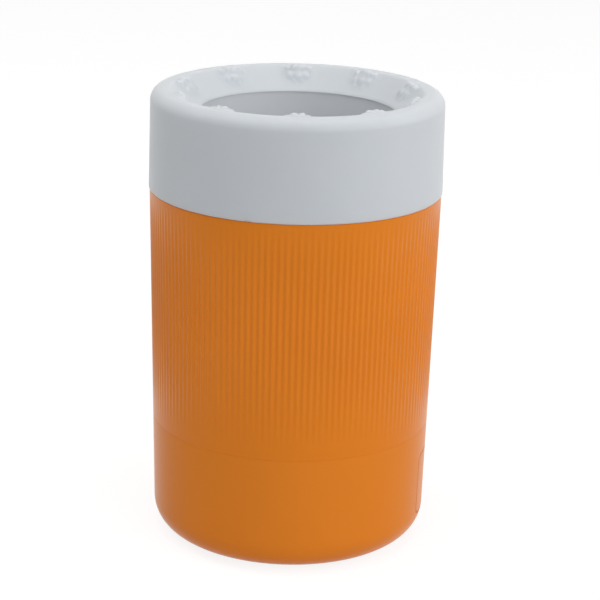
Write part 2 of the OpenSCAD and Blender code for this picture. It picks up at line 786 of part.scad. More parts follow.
// A slack lead on a cubic curve between two terminals, square to each at its end
module lead(a, b, a_pull, b_pull) {
    steps = 14;
    a_out = a + lead_d / 2 * a_pull / norm(a_pull);
    b_out = b + lead_d / 2 * b_pull / norm(b_pull);
    function curve(t) = pow(1 - t, 3) * a_out + 3 * pow(1 - t, 2) * t * (a_out + a_pull)
        + 3 * (1 - t) * pow(t, 2) * (b_out + b_pull) + pow(t, 3) * b_out;
    wire(concat([a], [for (i = [0:steps]) curve(i / steps)], [b]), lead_d / 2, 8);
}

module battery_leads() color("red") for (s = [-1, 1])
    lead([box_front_x - box_depth, s * box_w / 3, cell_z],
         [battery_pad_x, s * board_w / 4, board_top_z - board_t],
         [-lead_slack, 0, 0], [0, 0, -1.4 * lead_slack]);

module speaker_leads() color("black") for (s = [-1, 1])
    lead([-magnet_r * 0.3, s * magnet_r / 4, speaker_z + speaker_h + magnet_h],
         [speaker_pad_x, s * board_w / 5, board_top_z - board_t],
         [0, 0, lead_slack], [0, 0, -lead_slack]);

module switch_leads() color("gold") for (s = [-1, 1])
    lead(switch_at + [s * switch_l / 4, 0, base_floor_z + switch_h],
         [switch_pad_x + s * switch_pad_step, board_w / 2 - 2, board_top_z - board_t],
         [0, 0, lead_slack], [0, 0, -lead_slack]);

base_shell();
body_shell();
bulkhead();
liner();
foam_sleeve();
collar_seal();
trigger_boot();
plunger_spring();
foot_plugs();
base_screws();
battery_box();
cells();
contact_spring();
contact_plate();
circuit_board();
board_screws();
sound_chip();
capacitor();
speaker_frame();
speaker_magnet();
speaker_cone();
switch_body();
battery_leads();
speaker_leads();
switch_leads();
collar();
hatch();
hatch_screw();
plunger();
contact_pill();
switch_slider();
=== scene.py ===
import math

import bmesh
import bpy
import numpy as np
from mathutils import Matrix, Vector


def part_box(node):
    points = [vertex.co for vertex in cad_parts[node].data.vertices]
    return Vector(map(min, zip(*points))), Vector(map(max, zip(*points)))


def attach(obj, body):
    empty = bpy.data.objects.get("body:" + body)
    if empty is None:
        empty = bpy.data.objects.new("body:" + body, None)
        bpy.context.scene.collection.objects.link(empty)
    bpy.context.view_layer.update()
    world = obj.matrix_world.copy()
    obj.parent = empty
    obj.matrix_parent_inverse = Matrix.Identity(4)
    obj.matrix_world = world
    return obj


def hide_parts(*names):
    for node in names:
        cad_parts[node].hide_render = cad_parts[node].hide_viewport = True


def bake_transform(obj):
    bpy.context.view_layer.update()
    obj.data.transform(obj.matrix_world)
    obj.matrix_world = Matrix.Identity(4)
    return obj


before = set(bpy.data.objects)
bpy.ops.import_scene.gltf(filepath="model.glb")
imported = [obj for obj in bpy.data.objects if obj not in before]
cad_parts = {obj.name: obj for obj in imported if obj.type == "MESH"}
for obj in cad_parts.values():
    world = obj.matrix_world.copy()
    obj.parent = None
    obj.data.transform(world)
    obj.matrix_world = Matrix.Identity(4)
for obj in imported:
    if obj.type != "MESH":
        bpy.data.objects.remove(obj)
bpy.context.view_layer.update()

# An insulated drinks-can cooler in the shape of a small drinks jug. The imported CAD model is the
# frame; this script gives it its finish and replaces the shells that show with finer meshes.
# Lengths are in metres.

MM = 0.001

# Profile of the shells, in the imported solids' sizes
TOTAL_H = 166.5 * MM
COLLAR_SEAM_Z = 130.7 * MM
BASE_SEAM_Z = 44.4 * MM
BODY_TOP_R = 52.7 * MM
BASE_R = 50.5 * MM
BASE_Z = 0.6 * MM
BASE_ROUND = 11 * MM
SHELL_WALL = 2.4 * MM
SEAM_CHAMFER = 0.3 * MM
BASE_SEAM_CHAMFER = 0.1 * MM

COLLAR_R = 53.0 * MM
COLLAR_TOP_R = 52.6 * MM
COLLAR_WALL = 2.2 * MM
RIM_ROUND = 4.2 * MM
CREST_R = 45.5 * MM
CREST_ROUND = 2.6 * MM
MOUTH_Z = TOTAL_H - 8.1 * MM
LIP_ROUND = 4.1 * MM
# Steepness of the lip's arc at the edge of the mouth, in degrees
LIP_SLOPE = 60
# Only in this finer mesh: the height of the lip's edge, and the step back of the wall below it
LIP_H = 0.15 * MM
LIP_PROUD = 0.4 * MM
WELL_R = 35.2 * MM
SKIRT_Z = 126 * MM
SKIRT_R = WELL_R + 1.9 * MM
NECK_R = 50.1 * MM
NECK_IN_R = 47.5 * MM
NECK_H = 8 * MM
COLLAR_IN_R = COLLAR_TOP_R - COLLAR_WALL
SEAL_R = 0.85 * MM
SEAL_PROUD = 0.25 * MM
SEAT_W = 1.4 * MM
FLANGE_Z = SKIRT_Z + 4.85 * MM
SHOULDER_Z = 128 * MM
LEDGE_Z = 46.4 * MM
LEDGE_W = 3.6 * MM
BULKHEAD_Z = 48.4 * MM
LINER_WALL = 1.8 * MM
GUSSET_Z = COLLAR_SEAM_Z + NECK_H + 2 * MM
GUSSET_T = 1.2 * MM
KEY_ANGLE = math.radians(252)
KEY_W = 0.9 * MM
KEY_DROP = 0.5 * MM
KEY_INSET = 0.4 * MM
FOOT_CIRCLE_R = 34 * MM
FOOT_D = 10.4 * MM
FOOT_T = 1.4 * MM
FOOT_PLUG_R = 3.15 * MM
FOOT_TURNS = (45, 135, 225, 315)

# Groove of the seal in the neck, and the small edges of the neck and of the skirt's end
GROOVE_HALF = 0.95 * MM
GROOVE_DEPTH = 1.5 * MM
NECK_EDGE = 0.4 * MM
SKIRT_EDGE = 0.3 * MM
# How far the gussets and the key run into the collar's walls
OVERLAP = 0.5 * MM
# Radius that a turned piece keeps open at its axis
AXIS_HOLE = 0.05 * MM

# Waves of the ribbed body, where the solid has plain grooves, and their fade to both ends
RIB_COUNT = 144
RIB_STEPS = 8
RIB_ROWS = 57
RIB_DEPTH = 0.42 * MM
RIB_LOW_Z = 48 * MM
RIB_HIGH_Z = 130 * MM
FADE_SKEW = 1.2
FADE_POWER = 0.8

# Heaps on the rim, and the fine part of the mesh to each side of their middle
CLUSTER_COUNT = 10
HEAP_REACH = math.radians(8.5)
HEAP_STEPS = 76
PLAIN_STEPS = 11
HEAP_SEED = 7
# Rounding of the chips, the width over which they melt together, and the share of the dish's
# slope that those on the crest lean by
CHIP_CORNER = 0.95 * MM
CHIP_BLEND = 0.9 * MM
CREST_LEAN = 0.4
# The mound under a heap: height, distance from the axis, reach along and across the rim
DRIFT_H = 1.8 * MM
DRIFT_R = 42.1 * MM
DRIFT_W = 4.2 * MM
DRIFT_L = 2.7 * MM
# Passes of softening along and across the rim, on the dish and on the crest
DISH_SOFT = (8, 3)
CREST_SOFT = (3, 1)
CREST_FROM_R = 42.4 * MM
CREST_FADE = 0.8 * MM


def body_r(z):
    """Outer radius of the body and the base above the rounded edge, at height z."""
    round_top = BASE_Z + BASE_ROUND
    return BASE_R + (BODY_TOP_R - BASE_R) * (z - round_top) / (COLLAR_SEAM_Z - round_top)


# ---------------------------------------------------------------- mesh helpers

def arc(centre, radius, start, end, steps):
    """Points on an arc in the (r, z) plane, from start to end in degrees."""
    angles = [math.radians(start + (end - start) * i / steps) for i in range(steps + 1)]
    return [(centre[0] + radius * math.cos(a), centre[1] + radius * math.sin(a)) for a in angles]


def line(start, end, steps):
    """Points on a straight stretch, without its two ends."""
    return [(start[0] + (end[0] - start[0]) * i / steps,
             start[1] + (end[1] - start[1]) * i / steps) for i in range(1, steps)]


def even_angles(count):
    return [2 * math.pi * k / count for k in range(count)]


def ring_points(profile, angles):
    """The profile's (r, z) points turned about Z, as a grid of columns and rows."""
    r, z = np.array(profile).T
    a = np.array(angles)[:, None]
    return np.stack([r * np.cos(a), r * np.sin(a), np.broadcast_to(z, (len(angles), len(z)))], -1)


def grid_faces(columns, rows, wrap_columns=True):
    """Four-sided faces of a grid whose rows close, and whose columns may."""
    k, i = np.meshgrid(np.arange(columns if wrap_columns else columns - 1),
                       np.arange(rows), indexing="ij")
    k2, i2 = (k + 1) % columns, (i + 1) % rows
    return np.stack([k * rows + i, k2 * rows + i, k2 * rows + i2, k * rows + i2],
                    -1).reshape(-1, 4).tolist()


def slab_shell(outline, thickness, turn):
    """A flat slab standing on its (r, z) outline, turned about Z: its points and faces."""
    n = len(outline)
    points = [Vector((x, s * thickness / 2, z)) for s in (-1, 1) for x, z in outline]
    around = Matrix.Rotation(turn, 3, "Z")
    faces = [list(range(n)), list(range(2 * n - 1, n - 1, -1))]
    faces += [[i, n + i, n + (i + 1) % n, (i + 1) % n] for i in range(n)]
    return [tuple(around @ p) for p in points], faces


def tube_shell(path, radius, sides=12):
    """A round tube along a path, closed at both ends: its points and faces."""
    path = [Vector(p) for p in path]
    points = []
    side = None
    for i, p in enumerate(path):
        along = (path[min(i + 1, len(path) - 1)] - path[max(i - 1, 0)]).normalized()
        if side is None:
            side = along.orthogonal().normalized()
        side = (side - along * side.dot(along)).normalized()
        up = along.cross(side)
        points += [tuple(p + radius * (math.cos(t) * side + math.sin(t) * up))
                   for t in even_angles(sides)]
    faces = grid_faces(len(path), sides, wrap_columns=False)
    faces += [list(range(sides)), list(range(len(points) - sides, len(points)))]
    return points, faces


def make_piece(name, shells, material, body, replaced, sharp=38.0):
    """One piece out of closed shells, each a pair of points and faces.

    Edges sharper than that angle stay sharp. A piece without a body is left unattached, and its
    maker bakes its transform into the mesh.
    """
    points, faces = [], []
    for shell_points, shell_faces in shells:
        start = len(points)
        points += [tuple(p) for p in shell_points]
        faces += [[start + v for v in face] for face in shell_faces]
    mesh = bpy.data.meshes.new(name)
    mesh.from_pydata(points, [], faces)
    work = bmesh.new()
    work.from_mesh(mesh)
    bmesh.ops.recalc_face_normals(work, faces=work.faces)
    work.to_mesh(mesh)
    work.free()
    mesh.shade_smooth()
    mesh.set_sharp_from_angle(angle=math.radians(sharp))
    mesh.materials.append(material)
    piece = bpy.data.objects.new(name, mesh)
    bpy.context.scene.collection.objects.link(piece)
    if body is not None:
        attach(piece, body)
    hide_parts(*replaced)
    return piece


def grid_shell(points):
    """A closed shell from a grid of points: its points and faces."""
    columns, rows = points.shape[:2]
    return points.reshape(-1, 3).tolist(), grid_faces(columns, rows)


# ---------------------------------------------------------------- materials

def new_material(name):
    """A material with one Principled shader: itself, its nodes, its links and the shader."""
    material = bpy.data.materials.new(name)
    material.use_nodes = True
    nodes = material.node_tree.nodes
    nodes.clear()
    output = nodes.new("ShaderNodeOutputMaterial")
    shader = nodes.new("ShaderNodeBsdfPrincipled")
    material.node_tree.links.new(shader.outputs["BSDF"], output.inputs["Surface"])
    return material, nodes, material.node_tree.links, shader


def object_noise(nodes, links, scale, detail=3.0, roughness=0.5):
    """Noise over the piece's own space, scale in features a metre."""
    where = nodes.new("ShaderNodeTexCoord")
    noise = nodes.new("ShaderNodeTexNoise")
    noise.inputs["Scale"].default_value = scale
    noise.inputs["Detail"].default_value = detail
    noise.inputs["Roughness"].default_value = roughness
    links.new(where.outputs["Object"], noise.inputs["Vector"])
    return noise.outputs["Fac"]


def blend_colours(nodes, links, fac, dark, light, low=0.35, high=0.65):
    """From the dark to the light colour, as the value goes from low to high."""
    ramp = nodes.new("ShaderNodeValToRGB")
    ramp.color_ramp.elements[0].position = low
    ramp.color_ramp.elements[0].color = (*dark, 1)
    ramp.color_ramp.elements[1].position = high
    ramp.color_ramp.elements[1].color = (*light, 1)
    links.new(fac, ramp.inputs["Fac"])
    return ramp.outputs["Color"]


def spread(nodes, links, fac, low, high):
    """A 0 to 1 value mapped to a range."""
    mapper = nodes.new("ShaderNodeMapRange")
    mapper.inputs["To Min"].default_value = low
    mapper.inputs["To Max"].default_value = high
    links.new(fac, mapper.inputs["Value"])
    return mapper.outputs["Result"]


def add_bump(nodes, links, shader, height, strength, distance):
    bump = nodes.new("ShaderNodeBump")
    bump.inputs["Strength"].default_value = strength
    bump.inputs["Distance"].default_value = distance
    links.new(height, bump.inputs["Height"])
    links.new(bump.outputs["Normal"], shader.inputs["Normal"])


def moulded_plastic(name, dark, light, roughness, grain=2600, grain_depth=0.012 * MM,
                    specular=0.5, milky=0.0):
    """Satin moulded plastic with a fine spark-eroded grain and a slow drift of tone."""
    material, nodes, links, shader = new_material(name)
    tone = object_noise(nodes, links, 22, detail=2)
    links.new(blend_colours(nodes, links, tone, dark, light), shader.inputs["Base Color"])
    fine = object_noise(nodes, links, grain, detail=2, roughness=0.6)
    links.new(spread(nodes, links, fine, roughness - 0.05, roughness + 0.05),
              shader.inputs["Roughness"])
    add_bump(nodes, links, shader, fine, 0.5, grain_depth)
    shader.inputs["IOR"].default_value = 1.49
    shader.inputs["Specular IOR Level"].default_value = specular
    shader.inputs["Subsurface Weight"].default_value = milky
    shader.inputs["Subsurface Radius"].default_value = (1, 1, 1)
    shader.inputs["Subsurface Scale"].default_value = 3 * MM
    return material


def metal(name, dark, light, roughness, grain=900):
    """Bright metal with a fine grain."""
    material, nodes, links, shader = new_material(name)
    fine = object_noise(nodes, links, grain, detail=4)
    links.new(blend_colours(nodes, links, fine, dark, light), shader.inputs["Base Color"])
    links.new(spread(nodes, links, fine, roughness - 0.06, roughness + 0.08),
              shader.inputs["Roughness"])
    add_bump(nodes, links, shader, fine, 0.25, 0.01 * MM)
    shader.inputs["Metallic"].default_value = 1.0
    return material


# The ribbed shell, and the base and hatch, which are a little less glossy
ORANGE = moulded_plastic("orange_shell", (0.797, 0.222, 0.007), (0.827, 0.232, 0.008), 0.30,
                         specular=0.21)
ORANGE_SMOOTH = moulded_plastic("orange_base", (0.805, 0.236, 0.018), (0.835, 0.246, 0.019),
                                0.29, specular=0.11)
WHITE = moulded_plastic("white_shell", (0.66, 0.694, 0.728), (0.68, 0.714, 0.748), 0.32,
                        specular=0.15, milky=1.0)
# A lighter copy of the white plastic, for the liner and for the collar's faces in the well: the
# lift is painted light against the shade in the well.
WELL_WHITE_PAINTED_LIGHT = moulded_plastic("white_well_painted_light", (0.735, 0.76, 0.785), (0.755, 0.78, 0.805), 0.40,
                              specular=0.15)
INNER = moulded_plastic("inner_plastic", (0.66, 0.66, 0.62), (0.70, 0.70, 0.66), 0.45)
FOAM = moulded_plastic("foam", (0.80, 0.74, 0.50), (0.86, 0.80, 0.58), 0.85, grain=700,
                       grain_depth=0.25 * MM)
GREY_RUBBER = moulded_plastic("grey_rubber", (0.060, 0.063, 0.068), (0.075, 0.078, 0.083), 0.72,
                              grain=1800, grain_depth=0.02 * MM)
BLACK_RUBBER = moulded_plastic("black_rubber", (0.006, 0.006, 0.006), (0.010, 0.010, 0.010), 0.7)
BLACK_PLASTIC = moulded_plastic("black_plastic", (0.010, 0.010, 0.011), (0.015, 0.015, 0.016), 0.4)
SPRING_STEEL = metal("spring_steel", (0.55, 0.56, 0.57), (0.68, 0.69, 0.70), 0.22)
SCREW_STEEL = metal("screw_steel", (0.46, 0.47, 0.49), (0.58, 0.59, 0.61), 0.32)
CELL_STEEL = metal("cell_steel", (0.62, 0.62, 0.60), (0.74, 0.74, 0.72), 0.26)
PRESSED_STEEL = metal("speaker_steel", (0.30, 0.31, 0.32), (0.38, 0.39, 0.40), 0.4)
FERRITE = moulded_plastic("magnet_ferrite", (0.014, 0.014, 0.015), (0.024, 0.024, 0.026), 0.6,
                          grain=1500)
CONE_FILM = moulded_plastic("cone_film", (0.010, 0.010, 0.012), (0.016, 0.016, 0.018), 0.25)
BOARD = moulded_plastic("board_green", (0.006, 0.085, 0.028), (0.010, 0.110, 0.040), 0.3, grain=900)
RESIN = moulded_plastic("black_resin", (0.004, 0.004, 0.004), (0.007, 0.007, 0.007), 0.18)
SLEEVE = moulded_plastic("capacitor_sleeve", (0.005, 0.008, 0.035), (0.008, 0.012, 0.05), 0.25)
RED_LEAD = moulded_plastic("red_lead", (0.42, 0.008, 0.006), (0.50, 0.012, 0.010), 0.35)
BLACK_LEAD = moulded_plastic("black_lead", (0.006, 0.006, 0.006), (0.010, 0.010, 0.010), 0.35)
YELLOW_LEAD = moulded_plastic("yellow_lead", (0.58, 0.34, 0.008), (0.66, 0.40, 0.012), 0.35)

NODE_MATERIALS = {
    "base_shell": ORANGE_SMOOTH, "hatch": ORANGE_SMOOTH, "body_shell": ORANGE,
    "liner": WELL_WHITE_PAINTED_LIGHT, "collar": WHITE,
    "bulkhead": INNER, "plunger": INNER, "foam_sleeve": FOAM,
    "collar_seal": GREY_RUBBER, "trigger_boot": GREY_RUBBER, "foot_plugs": GREY_RUBBER,
    "contact_pill": BLACK_RUBBER, "battery_box": BLACK_PLASTIC, "switch_slider": BLACK_PLASTIC,
    "plunger_spring": SPRING_STEEL, "contact_spring": SPRING_STEEL,
    "base_screws": SCREW_STEEL, "board_screws": SCREW_STEEL, "hatch_screw": SCREW_STEEL,
    "cells": CELL_STEEL, "contact_plate": CELL_STEEL,
    "switch_body": PRESSED_STEEL, "speaker_frame": PRESSED_STEEL,
    "speaker_magnet": FERRITE, "speaker_cone": CONE_FILM,
    "circuit_board": BOARD, "sound_chip": RESIN, "capacitor": SLEEVE,
    "battery_leads": RED_LEAD, "speaker_leads": BLACK_LEAD, "switch_leads": YELLOW_LEAD,
}


def paint(piece, material):
    piece.data.materials.clear()
    piece.data.materials.append(material)


for node_name, node_material in NODE_MATERIALS.items():
    paint(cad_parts[node_name], node_material)


# ---------------------------------------------------------------- ribbed body

def rib_fade(z):
    """Share of the full depth: the grooves run out slowly towards both ends."""
    t = np.clip((z - RIB_LOW_Z) / (RIB_HIGH_Z - RIB_LOW_Z), 0, 1) ** FADE_SKEW
    return (4 * t * (1 - t)) ** FADE_POWER


def ribbed_body():
    """The ribbed shell, from the seam at the base up to its neck and down again inside."""
    c, low_c = SEAM_CHAMFER, BASE_SEAM_CHAMFER
    ribs = [(body_r(z), z) for z in np.linspace(RIB_LOW_Z, RIB_HIGH_Z, RIB_ROWS)]
    outer = [(body_r(BASE_SEAM_Z) - low_c, BASE_SEAM_Z),
             (body_r(BASE_SEAM_Z + low_c), BASE_SEAM_Z + low_c),
             (body_r(BASE_SEAM_Z + 2 * low_c), BASE_SEAM_Z + 2 * low_c)]
    outer += [(body_r(z), z) for z in np.linspace(BASE_SEAM_Z + 3 * c, RIB_LOW_Z, 4)[:-1]]
    first_rib = len(outer)
    outer += ribs
    outer += [(body_r(COLLAR_SEAM_Z - 2 * c), COLLAR_SEAM_Z - 2 * c),
              (body_r(COLLAR_SEAM_Z - c), COLLAR_SEAM_Z - c), (BODY_TOP_R - c, COLLAR_SEAM_Z)]
    groove_z = COLLAR_SEAM_Z + NECK_H / 2
    neck = [(NECK_R, COLLAR_SEAM_Z), (NECK_R, groove_z - GROOVE_HALF),
            (NECK_R - GROOVE_DEPTH, groove_z - GROOVE_HALF),
            (NECK_R - GROOVE_DEPTH, groove_z + GROOVE_HALF),
            (NECK_R, groove_z + GROOVE_HALF), (NECK_R, COLLAR_SEAM_Z + NECK_H - NECK_EDGE),
            (NECK_R - NECK_EDGE, COLLAR_SEAM_Z + NECK_H), (NECK_IN_R, COLLAR_SEAM_Z + NECK_H)]

    def inside(z):
        return body_r(z) - SHELL_WALL

    inner = [(NECK_IN_R, FLANGE_Z), (NECK_IN_R - SEAT_W, FLANGE_Z),
             (NECK_IN_R - SEAT_W, SHOULDER_Z), (inside(SHOULDER_Z), SHOULDER_Z),
             (inside(BULKHEAD_Z), BULKHEAD_Z), (inside(LEDGE_Z) - LEDGE_W, BULKHEAD_Z),
             (inside(LEDGE_Z) - LEDGE_W, LEDGE_Z), (inside(LEDGE_Z), LEDGE_Z),
             (inside(BASE_SEAM_Z), BASE_SEAM_Z)]
    angles = even_angles(RIB_COUNT * RIB_STEPS)
    points = ring_points(outer + neck + inner, angles)
    wave = 0.5 - 0.5 * np.cos(RIB_COUNT * np.array(angles))[:, None]
    zone = slice(first_rib, first_rib + len(ribs))
    z = points[:, zone, 2]
    r = np.hypot(points[:, zone, 0], points[:, zone, 1])
    points[:, zone, :2] *= (1 - RIB_DEPTH * rib_fade(z) * wave / r)[..., None]
    make_piece("body_ribbed", [grid_shell(points)], ORANGE, "base",
               ["body_shell"])


# ---------------------------------------------------------------- collar with its heaps of ice

LIP_C = (WELL_R + LIP_ROUND * math.sin(math.radians(LIP_SLOPE)),
         MOUTH_Z - LIP_ROUND * math.cos(math.radians(LIP_SLOPE)))
DISH_ANGLE = (math.atan2(TOTAL_H - LIP_C[1], CREST_R - LIP_C[0])
              - math.asin(LIP_ROUND / math.hypot(CREST_R - LIP_C[0], TOTAL_H - LIP_C[1])))
LIP_TOP = (LIP_C[0] - LIP_ROUND * math.sin(DISH_ANGLE),
           LIP_C[1] + LIP_ROUND * math.cos(DISH_ANGLE))


def dish_z(r):
    """Height of the sloping dish between the mouth and the crest, or of its plane."""
    return LIP_TOP[1] + (r - LIP_TOP[0]) * math.tan(DISH_ANGLE)


# One heap, as chips of ice, in mm: place along the rim and distance from the axis, half size,
# and height of the top, over the crest for the first row and over the dish for the others
HEAP = [(-3.9, 43.5, 1.25, 0.00), (-1.4, 43.3, 1.45, 0.60), (1.4, 43.4, 1.40, 0.75),
        (3.8, 43.5, 1.30, 0.10), (-2.7, 41.0, 1.40, 1.25), (0.1, 40.7, 1.55, 1.60),
        (2.9, 41.0, 1.35, 1.20), (-1.3, 38.8, 1.15, 0.50), (1.6, 38.9, 1.20, 0.50)]
CREST_CHIPS = 4


def heap_chips(turn, rng):
    """The chips of the heap at that angle, as (centre, half sizes, axes)."""
    chips = []
    for n, (along, r, half, top) in enumerate(HEAP):
        r = (r + rng.uniform(-0.2, 0.2)) * MM
        angle = turn + (along + rng.uniform(-0.25, 0.25)) * MM / r
        top = (top + rng.uniform(-0.1, 0.1)) * MM
        halves = half * MM * np.array([1, rng.uniform(0.85, 1.05), rng.uniform(0.8, 1.0)])
        on_crest = n < CREST_CHIPS
        lean = DISH_ANGLE * (CREST_LEAN if on_crest else 1.0)
        out = np.array([math.cos(angle), math.sin(angle), 0])
        up = np.array([0, 0, 1])
        normal = math.cos(lean) * up - math.sin(lean) * out
        uphill = math.sin(lean) * up + math.cos(lean) * out
        turned = np.array(Matrix.Rotation(rng.uniform(-0.3, 0.3), 3, "X")
                          @ Matrix.Rotation(rng.uniform(0, 6.28), 3, "Z"))
        axes = turned @ np.stack([np.cross(uphill, normal), uphill, normal])
        if on_crest:
            reach = np.abs(axes[:, 2]) @ (halves - CHIP_CORNER) + CHIP_CORNER
            centre = r * out + (TOTAL_H + top - reach) * up
        else:
            reach = np.abs(axes @ normal) @ (halves - CHIP_CORNER) + CHIP_CORNER
            centre = r * out + dish_z(r) * up + (top - reach) * normal
        chips.append((centre, halves, axes))
    return chips


def chip_height(x, y, chip):
    """Height of a chip's upper side over each point, far below where it has none.

    Each point comes down from above the chip by its distance from it, until it touches.
    """
    trace_steps, touching, nowhere = 48, 0.03 * MM, -1.0
    centre, halves, axes = chip
    z = np.full(x.shape, centre[2] + 2.2 * halves.max())
    for _ in range(trace_steps):
        offset = np.stack([x - centre[0], y - centre[1], z - centre[2]], -1)
        local = np.abs(offset @ axes.T) - (halves - CHIP_CORNER)
        distance = (np.linalg.norm(np.maximum(local, 0), axis=-1)
                    + np.minimum(local.max(-1), 0) - CHIP_CORNER)
        z = z - np.maximum(distance, 0)
    return np.where(distance < touching, z, nowhere)


def soft_max(a, b, width):
    """The greater of two, rounded where they are less than the width apart."""
    return np.maximum(a, b) + np.maximum(width - np.abs(a - b), 0) ** 2 / (4 * width)


def soften(rise, passes_along, passes_across):
    """Rounds off a grid of heights, by passes of a 1-2-1 mean along and across the rim."""
    for _ in range(passes_along):
        edged = np.pad(rise, ((1, 1), (0, 0)))
        rise = (edged[:-2] + 2 * rise + edged[2:]) / 4
    for _ in range(passes_across):
        edged = np.pad(rise, ((0, 0), (1, 1)))
        rise = (edged[:, :-2] + 2 * rise + edged[:, 2:]) / 4
    return rise


def collar_profile():
    """The collar's outline, and the number of its first and last row on the dish and crest."""
    a = math.degrees(DISH_ANGLE)
    rise = TOTAL_H - CREST_ROUND + CREST_ROUND * math.cos(DISH_ANGLE) - LIP_TOP[1]
    slope_end = (LIP_TOP[0] + rise / math.tan(DISH_ANGLE), LIP_TOP[1] + rise)
    crest_c = (slope_end[0] + CREST_ROUND * math.sin(DISH_ANGLE), TOTAL_H - CREST_ROUND)
    rim_c = (COLLAR_TOP_R - RIM_ROUND, TOTAL_H - RIM_ROUND)
    c = SEAM_CHAMFER
    under_r = WELL_R + LIP_PROUD
    roof_z = MOUTH_Z - LIP_H
    lip_toe_r = WELL_R + 0.1 * MM
    profile = [(under_r, SKIRT_Z + SKIRT_EDGE)]
    profile += line((under_r, SKIRT_Z + SKIRT_EDGE), (under_r, roof_z), 8)
    profile += [(under_r, roof_z), (lip_toe_r, roof_z)]
    profile += arc(LIP_C, LIP_ROUND, 90 + LIP_SLOPE, 90 + a, 10)
    first = len(profile)
    profile += line(LIP_TOP, slope_end, 36)
    profile += arc(crest_c, CREST_ROUND, 90 + a, 90, 10)
    last = len(profile)
    profile += line((crest_c[0], TOTAL_H), (rim_c[0], TOTAL_H), 4)
    profile += arc(rim_c, RIM_ROUND, 90, 0, 14)
    wall_end = (COLLAR_R, COLLAR_SEAM_Z + c)
    profile += line((COLLAR_TOP_R, rim_c[1]), (COLLAR_R, COLLAR_SEAM_Z + 3 * c), 10)
    profile += [(COLLAR_R, COLLAR_SEAM_Z + 2 * c), wall_end, (COLLAR_R - c, COLLAR_SEAM_Z)]
    under = TOTAL_H - COLLAR_WALL
    slab = COLLAR_WALL / math.cos(DISH_ANGLE)
    profile += [(COLLAR_IN_R, COLLAR_SEAM_Z), (COLLAR_IN_R, under), (CREST_R, under),
                (SKIRT_R, dish_z(SKIRT_R) - slab), (SKIRT_R, SKIRT_Z),
                (under_r + SKIRT_EDGE, SKIRT_Z)]
    return profile, first, last


def collar_moulding():
    """The collar: its turned shell with the heaps raised on it, the gussets and the key."""
    profile, first, last = collar_profile()
    sector = 2 * math.pi / CLUSTER_COUNT
    steps = [*np.linspace(-HEAP_REACH, HEAP_REACH, HEAP_STEPS),
             *np.linspace(HEAP_REACH, sector - HEAP_REACH, PLAIN_STEPS)[1:-1]]
    turns = [math.pi / 2 + i * sector for i in range(CLUSTER_COUNT)]
    angles = [turn + step for turn in turns for step in steps]
    points = ring_points(profile, angles)
    rng = np.random.default_rng(HEAP_SEED)
    for i, turn in enumerate(turns):
        patch = points[i * len(steps):i * len(steps) + HEAP_STEPS, first:last]
        x, y, z = patch[..., 0], patch[..., 1], patch[..., 2].copy()
        out = x * math.cos(turn) + y * math.sin(turn)
        along = y * math.cos(turn) - x * math.sin(turn)
        z += DRIFT_H * np.exp(-(along / DRIFT_W) ** 2 - ((out - DRIFT_R) / DRIFT_L) ** 2)
        for chip in heap_chips(turn, rng):
            z = soft_max(z, chip_height(x, y, chip), CHIP_BLEND)
        rise = z - patch[..., 2]
        on_crest = np.clip((out - CREST_FROM_R) / CREST_FADE, 0, 1)
        patch[..., 2] += (on_crest * soften(rise, *CREST_SOFT)
                          + (1 - on_crest) * soften(rise, *DISH_SOFT))
    shells = [grid_shell(points)]
    slab = COLLAR_WALL / math.cos(DISH_ANGLE)
    gusset = [(SKIRT_R - OVERLAP, GUSSET_Z), (COLLAR_IN_R + OVERLAP, GUSSET_Z),
              (COLLAR_IN_R + OVERLAP, TOTAL_H - COLLAR_WALL + OVERLAP),
              (CREST_R, TOTAL_H - COLLAR_WALL + OVERLAP),
              (SKIRT_R - OVERLAP, dish_z(SKIRT_R) - slab)]
    shells += [slab_shell(gusset, GUSSET_T, (i + 0.5) * sector) for i in range(CLUSTER_COUNT)]
    key_out, key_in = COLLAR_R - KEY_INSET, COLLAR_R - COLLAR_WALL
    key_low, key_high = COLLAR_SEAM_Z - KEY_DROP, COLLAR_SEAM_Z + OVERLAP
    key = [(key_in, key_low), (key_out, key_low), (key_out, key_high), (key_in, key_high)]
    shells.append(slab_shell(key, KEY_W, KEY_ANGLE))
    moulding = make_piece("collar_moulding", shells, WHITE, "collar", ["collar"],
                          sharp=50)
    # The collar's faces in the well take the lighter white, which is painted light against the
    # well's shade.
    moulding.data.materials.append(WELL_WHITE_PAINTED_LIGHT)
    well_top, well_side = MOUTH_Z - LIP_H + 0.01 * MM, SKIRT_R - 0.2 * MM
    for face in moulding.data.polygons:
        x, y, z = face.center
        if z < well_top and math.hypot(x, y) < well_side:
            face.material_index = 1


# ---------------------------------------------------------------- rubber, foam, springs, leads

def seal_piece():
    centre = (NECK_R + SEAL_PROUD - SEAL_R, COLLAR_SEAM_Z + NECK_H / 2)
    ring = ring_points(arc(centre, SEAL_R, 0, 345, 23), even_angles(240))
    make_piece("seal_ring", [grid_shell(ring)], GREY_RUBBER, "base",
               ["collar_seal"])


def foot_pieces():
    """The four feet, each a rounded pad with its plug."""
    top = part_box("foot_plugs")[1].z
    foot_r = FOOT_D / 2
    round_edge, pad_edge, plug_edge = 0.45 * MM, 0.2 * MM, 0.4 * MM
    profile = [(AXIS_HOLE, 0), (foot_r - round_edge, 0),
               *arc((foot_r - round_edge, round_edge), round_edge, -90, 0, 5)[1:],
               (foot_r, FOOT_T - pad_edge), (foot_r - pad_edge, FOOT_T), (FOOT_PLUG_R, FOOT_T),
               (FOOT_PLUG_R, top - plug_edge), (FOOT_PLUG_R - plug_edge, top), (AXIS_HOLE, top)]
    shells = []
    for turn in FOOT_TURNS:
        at = np.array([FOOT_CIRCLE_R * math.cos(math.radians(turn)),
                       FOOT_CIRCLE_R * math.sin(math.radians(turn)), 0])
        shells.append(grid_shell(ring_points(profile, even_angles(64)) + at))
    make_piece("feet", shells, GREY_RUBBER, "base", ["foot_plugs"])


